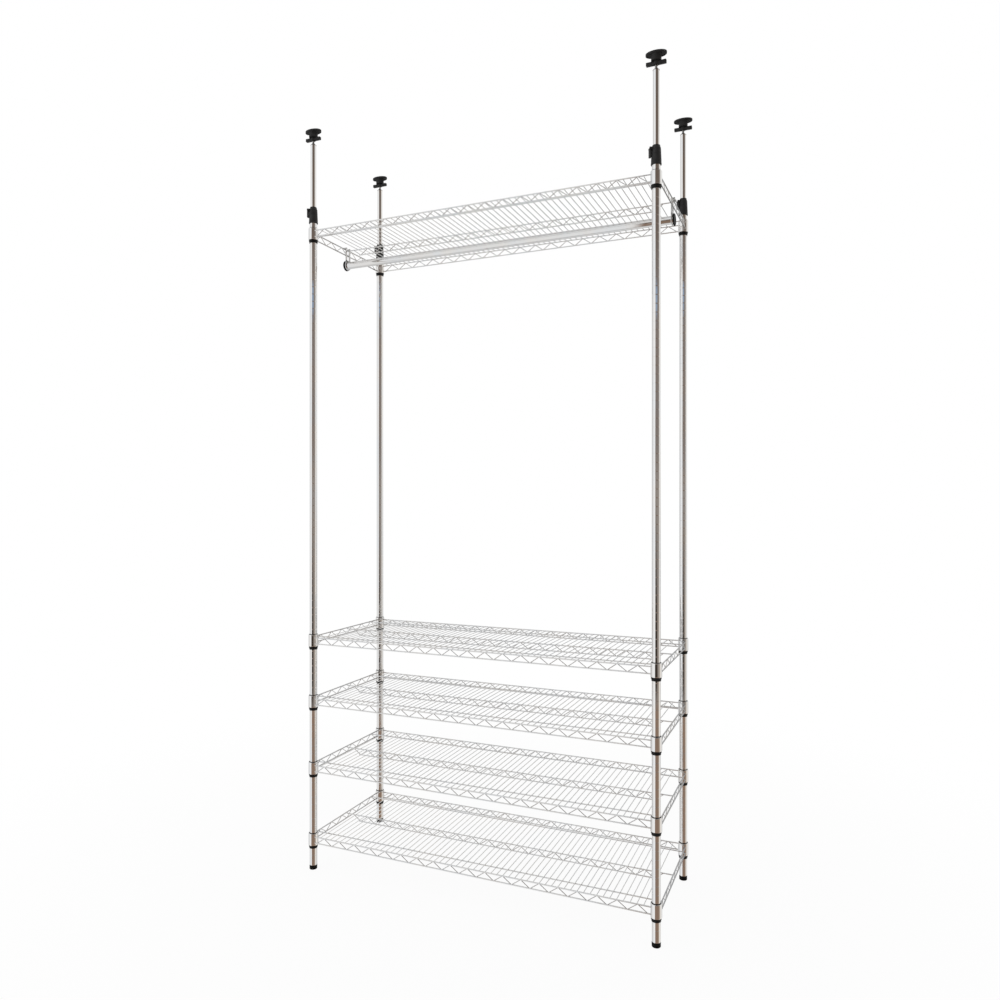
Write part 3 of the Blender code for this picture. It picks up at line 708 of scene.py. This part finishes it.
pole_top = POLE_HIGH.z - CONE_HEIGHT
guide_top = POLE_LOW.z + GUIDE_LENGTH
pole_steps = (
    (POLE_BORE, POLE_LOW.z), (GUIDE_RADIUS - POLE_EDGE_IN, POLE_LOW.z),
    (GUIDE_RADIUS, POLE_LOW.z + POLE_EDGE_UP), (GUIDE_RADIUS, guide_top - POLE_EDGE_UP),
    (GUIDE_RADIUS - POLE_EDGE_IN, guide_top), (POLE_RADIUS, guide_top + POLE_EDGE_IN),
    (POLE_RADIUS, pole_top - POLE_EDGE_UP), (POLE_RADIUS - POLE_EDGE_IN, pole_top),
    (POLE_BORE, pole_top), (POLE_BORE, POLE_LOW.z))
pole = turned("pole_model", held(pole_steps), TUBE_SIDES, chrome)
fit_at_corners("pole_tube", pole, "pole_{}", "chrome_plate", "pole")
nut_steel = bright_steel("nut_steel", tone=0.36, haze=0.20)
nut = turned("nut_model", held(NUT_STEPS), TUBE_SIDES, nut_steel, start=(0, 0, pole_top))
fit_at_corners("pole_nut", nut, "pole_{}", "chrome_plate")

# Jack screws. Each is a steel screw with a black wing bar moulded round it, which is turned by
# hand to drive the pad against the ceiling.
WING_LOW, WING_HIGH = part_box("wing_screw_front_left")
PAD_LOW, PAD_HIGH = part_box("ceiling_pad_front_left")
WING_GAP = 0.0003
WING_HEIGHT = 0.0102
WING_HALF = (WING_HIGH.x - WING_LOW.x) / 2
WING_DEPTH = 0.005
WING_EDGE = 0.0016
SCREW_CORE = 0.0034
SCREW_CREST = 0.0040
SCREW_PITCH = 0.0025
SCREW_SINK = 0.002
STUB_TOP = 0.0222
BOSS_STEPS = (
    (AXIS, 0.0), (0.0070, 0.0), (0.0076, 0.0006), (0.0080, 0.0096), (0.0074, WING_HEIGHT),
    (SCREW_CREST, WING_HEIGHT), (SCREW_CREST, STUB_TOP), (AXIS, STUB_TOP))

wing_top = PAD_LOW.z - WING_GAP
wing_bottom = wing_top - WING_HEIGHT
screw_span = (WING_LOW.z, wing_bottom + SCREW_SINK)
screw = thread("jack_screw_model", SCREW_CORE, SCREW_CREST, SCREW_PITCH, screw_span, stud_steel)
fit_at_corners("jack_screw", screw, "wing_screw_{}", "chrome_plate")
wing_plastic = moulded_plastic("wing_moulding", dark=0.017, light=0.027, haze=0.40, grain=0.00006)
wing_bar = block("wing_bar_body", (-WING_HALF, -WING_DEPTH, wing_bottom),
                 (WING_HALF, WING_DEPTH, wing_top), WING_EDGE, wing_plastic)
boss = turned("wing_boss", held(BOSS_STEPS), TUBE_SIDES, wing_plastic, start=(0, 0, wing_bottom))
wing = joined("wing_model", [wing_bar, boss])
fit_at_corners("wing_bar", wing, "wing_screw_{}", "black_plastic", "wing_screw")

# Ceiling pads. Each is a black moulded oval plate on a round hub, in which the jack screw
# turns. Its underside is dished inside a rim, and its ribbed upper face bears on the ceiling.
PAD_HALF_X = (PAD_HIGH.x - PAD_LOW.x) / 2
PAD_HALF_Y = (PAD_HIGH.y - PAD_LOW.y) / 2
PAD_THICKNESS = 0.0070
PAD_SIDES = 72
PAD_CREASE = 50
RIM_STEPS = (
    (0.0060, 0.0014), (0.0040, 0.0014), (0.0033, 0.0012), (0.0029, 0.0006), (0.0026, 0.0001),
    (0.0021, 0.0), (0.0012, 0.0), (0.0004, 0.0003), (0.0, 0.0010), (0.0, 0.0059),
    (0.0003, 0.0066), (0.0010, 0.0070))
RIB_COUNT = 3
RIB_PITCH = 0.0038
RIB_STEPS = ((0.0024, 0.0070), (0.0028, 0.0064), (0.0044, 0.0064), (0.0048, 0.0070))
SOCKET_RADIUS = 0.0044
SOCKET_DEPTH = 0.0123
HUB_STEPS = (
    (AXIS, SOCKET_DEPTH), (SOCKET_RADIUS, SOCKET_DEPTH), (SOCKET_RADIUS, 0.0), (0.0137, 0.0),
    (0.0144, 0.0003),
    (0.0147, 0.0010), (0.0148, 0.0129), (0.0150, 0.0150), (0.0155, 0.0166), (0.0164, 0.0180),
    (0.0166, 0.0196), (AXIS, 0.0196))

pad_plastic = moulded_plastic("pad_moulding", dark=0.015, light=0.025, haze=0.45, grain=0.00007)
pad_steps = list(RIM_STEPS)
for rib in range(RIB_COUNT):
    pad_steps += [(inset + rib * RIB_PITCH, up) for inset, up in RIB_STEPS]
inset, up = pad_steps[0]
half_x = PAD_HALF_X - inset
half_y = PAD_HALF_Y - inset
level = Vector((0, 0, PAD_HIGH.z - PAD_THICKNESS + up))
start_piece()
bpy.ops.mesh.primitive_circle_add(vertices=PAD_SIDES, radius=half_x, location=level,
                                  enter_editmode=True)
bpy.ops.transform.resize(value=(1, half_y / half_x, 1), center_override=level)
for next_inset, next_up in pad_steps[1:]:
    rise = Vector((0, 0, next_up - up))
    next_x = PAD_HALF_X - next_inset
    next_y = PAD_HALF_Y - next_inset
    level = level + rise
    bpy.ops.mesh.extrude_region_move(TRANSFORM_OT_translate={"value": rise})
    bpy.ops.transform.resize(value=(next_x / half_x, next_y / half_y, 1), center_override=level)
    half_x = next_x
    half_y = next_y
    up = next_up
bpy.ops.mesh.select_all(action="SELECT")
bpy.ops.mesh.fill_holes(sides=PAD_SIDES)
plate = end_piece("pad_plate", pad_plastic, PAD_CREASE)
hub = turned("pad_hub", held(HUB_STEPS), RING_SIDES, pad_plastic, start=(0, 0, PAD_LOW.z))
pad = joined("pad_model", [plate, hub])
fit_at_corners("pad_oval", pad, "ceiling_pad_{}", "black_plastic", "ceiling_pad")

# Floor. A pale matt floor runs out into the white of the room. It keeps the rack's shadow close
# by, and the metal doesn't mirror it.
FLOOR_SIZE = 30
FLOOR_DROP = 0.0004
FLOOR_COLOUR = (0.80, 0.80, 0.80, 1.0)
FLOOR_HAZE = 0.9
FLOOR_WHITE = 0.93
WHITE = (1.0, 1.0, 1.0, 1.0)

floor_finish, floor_shader, floor_place = new_finish("pale_floor")
floor_shader.inputs["Base Color"].default_value = FLOOR_COLOUR
floor_shader.inputs["Roughness"].default_value = FLOOR_HAZE
floor_shader.inputs["Specular IOR Level"].default_value = 0.0
start_piece()
bpy.ops.mesh.primitive_plane_add(size=FLOOR_SIZE, location=(0, 0, -FLOOR_DROP), enter_editmode=True)
floor = end_piece("floor", floor_finish)
floor.visible_glossy = False
away = floor_place.node("ShaderNodeVectorMath", {"operation": "LENGTH"}, {0: floor_place}, "Value")
seen = floor_place.node("ShaderNodeLightPath", {}, {}, "Is Camera Ray")
fade = seen * (FLOOR_WHITE + (1 - FLOOR_WHITE) * away.ramp(low=0.6, high=2.6))
matt = Signal(floor_finish.node_tree, floor_shader.outputs["BSDF"])
white = floor_place.node("ShaderNodeEmission", {}, {"Color": WHITE, "Strength": 1.0})
surface = floor_place.node("ShaderNodeMixShader", {}, {0: fade, 1: matt, 2: white})
surface.feed(floor_finish.node_tree.nodes["Material Output"].inputs["Surface"])

# Room. Plain white to the camera, and an even light on the rack. Brown, tan and grey screens, a
# dark corner and a blue pane stand round it, and only its bright metal shows them.
ROOM_LIGHT = 0.75
ROOM_WHITE = (0.95, 0.95, 0.95, 1.0)
ROOM_OVERHEAD = (0.62, 0.62, 0.62, 1.0)
ROOM_WARM = (0.97, 0.94, 0.905, 1.0)
SIDE_GREY = (0.72, 0.72, 0.72, 1.0)
BACK_LOW = (0.36, 0.36, 0.36, 1.0)
BACK_HIGH = (0.80, 0.80, 0.80, 1.0)
BROWN_FLOOR = (0.270, 0.184, 0.136, 1.0)
BROWN_LEVEL = (0.320, 0.282, 0.252, 1.0)
BROWN_WALL = (0.238, 0.200, 0.178, 1.0)
BROWN_HIGH = (0.150, 0.114, 0.092, 1.0)
TAN_FLOOR = (0.660, 0.580, 0.480, 1.0)
TAN_STRIPE = (0.815, 0.733, 0.635, 1.0)
TAN_WALL = (0.387, 0.355, 0.324, 1.0)
DARK_CORNER = (0.045, 0.033, 0.025, 1.0)
BLUE_PANE = (0.305, 0.387, 0.505, 1.0)
NOT_ZERO = 0.0001

room = bpy.data.worlds.new("white_room")
bpy.context.scene.world = room
room.use_nodes = True
room.node_tree.nodes.clear()
air = Signal(room.node_tree)
way = air.node("ShaderNodeTexCoord", {}, {}, "Generated")
way_x, way_y, way_z = (
    air.node("ShaderNodeSeparateXYZ", {}, {"Vector": way}, axis) for axis in "XYZ")
flat_way = air.maths("SQRT", way_x * way_x + way_y * way_y) + NOT_ZERO


def screen(heading, half_width, soft):
    """How much of a tall screen the metal sees, from its heading and half width in degrees."""
    toward = math.radians(heading)
    facing = (way_x * math.cos(toward) + way_y * math.sin(toward)) / flat_way
    return facing.ramp(low=math.cos(math.radians(half_width + soft)),
                       high=math.cos(math.radians(half_width - soft)))


def storey(low, high, soft):
    """How much of a level stretch the metal sees, between two heights."""
    above = way_z.ramp(low=low - soft, high=low + soft)
    return above * (1 - way_z.ramp(low=high - soft, high=high + soft))


brown = way_z.ramp(low=-0.262, high=-0.238).blend(BROWN_FLOOR, BROWN_LEVEL)
brown = way_z.ramp(low=0.0, high=0.08).blend(brown, BROWN_WALL)
brown = way_z.ramp(low=0.24, high=0.36).blend(brown, BROWN_HIGH)
tan = way_z.ramp(low=-0.20, high=-0.05).blend(TAN_FLOOR, TAN_WALL)
tan = storey(low=-0.29, high=-0.245, soft=0.012).blend(tan, TAN_STRIPE)
wall = screen(heading=-98.0, half_width=90.0, soft=32.0).blend(tan, brown)
shade_height = way_z.ramp(low=-0.26, high=-0.22) * (1 - way_z.ramp(low=-0.18, high=0.04))
shade = screen(heading=-80.0, half_width=26.0, soft=14.0) * shade_height
wall = shade.blend(wall, DARK_CORNER)
pane = screen(heading=-72.0, half_width=24.0, soft=6.0) * storey(low=0.228, high=0.262, soft=0.006)
wall = pane.blend(wall, BLUE_PANE)
floor_edge = way_x.ramp(low=-0.224, high=-0.208) * (1 - way_z.ramp(low=0.08, high=0.16))
left_edge = air.maths("MAXIMUM", screen(heading=-8.5, half_width=90.0, soft=3.0), floor_edge)
wall_share = left_edge * screen(heading=-81.0, half_width=90.0, soft=22.0)
back = way_z.ramp(low=-0.12, high=0.12).blend(BACK_LOW, BACK_HIGH)
tone = way_z.ramp(low=0.50, high=0.95).blend(ROOM_WHITE, ROOM_OVERHEAD)
tone = screen(heading=45.0, half_width=45.0, soft=30.0).blend(tone, ROOM_WARM)
tone = screen(heading=160.0, half_width=35.0, soft=20.0).blend(tone, SIDE_GREY)
tone = way_y.ramp(low=0.70, high=0.90).blend(tone, back)
tone = wall_share.blend(tone, wall)
to_camera = air.node("ShaderNodeLightPath", {}, {}, "Is Camera Ray")
to_gloss = air.node("ShaderNodeLightPath", {}, {}, "Is Glossy Ray")
lit = air.node("ShaderNodeBackground", {}, {"Color": WHITE, "Strength": ROOM_LIGHT})
shown = air.node("ShaderNodeBackground", {}, {"Color": WHITE, "Strength": 1.0})
mirrored = air.node("ShaderNodeBackground", {}, {"Color": tone, "Strength": 1.0})
with_gloss = air.node("ShaderNodeMixShader", {}, {0: to_gloss, 1: lit, 2: mirrored})
whole = air.node("ShaderNodeMixShader", {}, {0: to_camera, 1: with_gloss, 2: shown})
whole.feed(room.node_tree.nodes.new("ShaderNodeOutputWorld").inputs["Surface"])

# Lamps and camera. A wide soft lamp hangs overhead and a fill stands at the left. The camera
# stands level in front of the rack, to its right, at half its height.
CAMERA_PLACE = (1.058, -2.4165, 1.268)
CAMERA_TURN = 23.32
CAMERA_LENS = 27.98
CAMERA_SENSOR = 36.0


def soft_lamp(name, place, aim, size, power):
    """A square lamp that looks at a point."""
    start_piece()
    turn = (Vector(aim) - Vector(place)).to_track_quat("-Z", "Y").to_euler()
    bpy.ops.object.light_add(type="AREA", location=place, rotation=turn)
    lamp = bpy.context.object
    lamp.name = name
    lamp.data.size = size
    lamp.data.energy = power
    lamp.visible_glossy = False


soft_lamp("overhead_lamp", place=(-0.8, -1.2, 5.2), aim=(0, 0, 1.0), size=4.0, power=50)
soft_lamp("fill_lamp", place=(-2.4, -3.2, 2.4), aim=(0, 0, 1.2), size=2.2, power=10)
start_piece()
bpy.ops.object.camera_add(location=CAMERA_PLACE,
                          rotation=(math.pi / 2, 0, math.radians(CAMERA_TURN)))
camera = bpy.context.object
camera.data.lens = CAMERA_LENS
camera.data.sensor_width = CAMERA_SENSOR
bpy.context.scene.camera = camera
bpy.context.scene.view_settings.view_transform = "Standard"
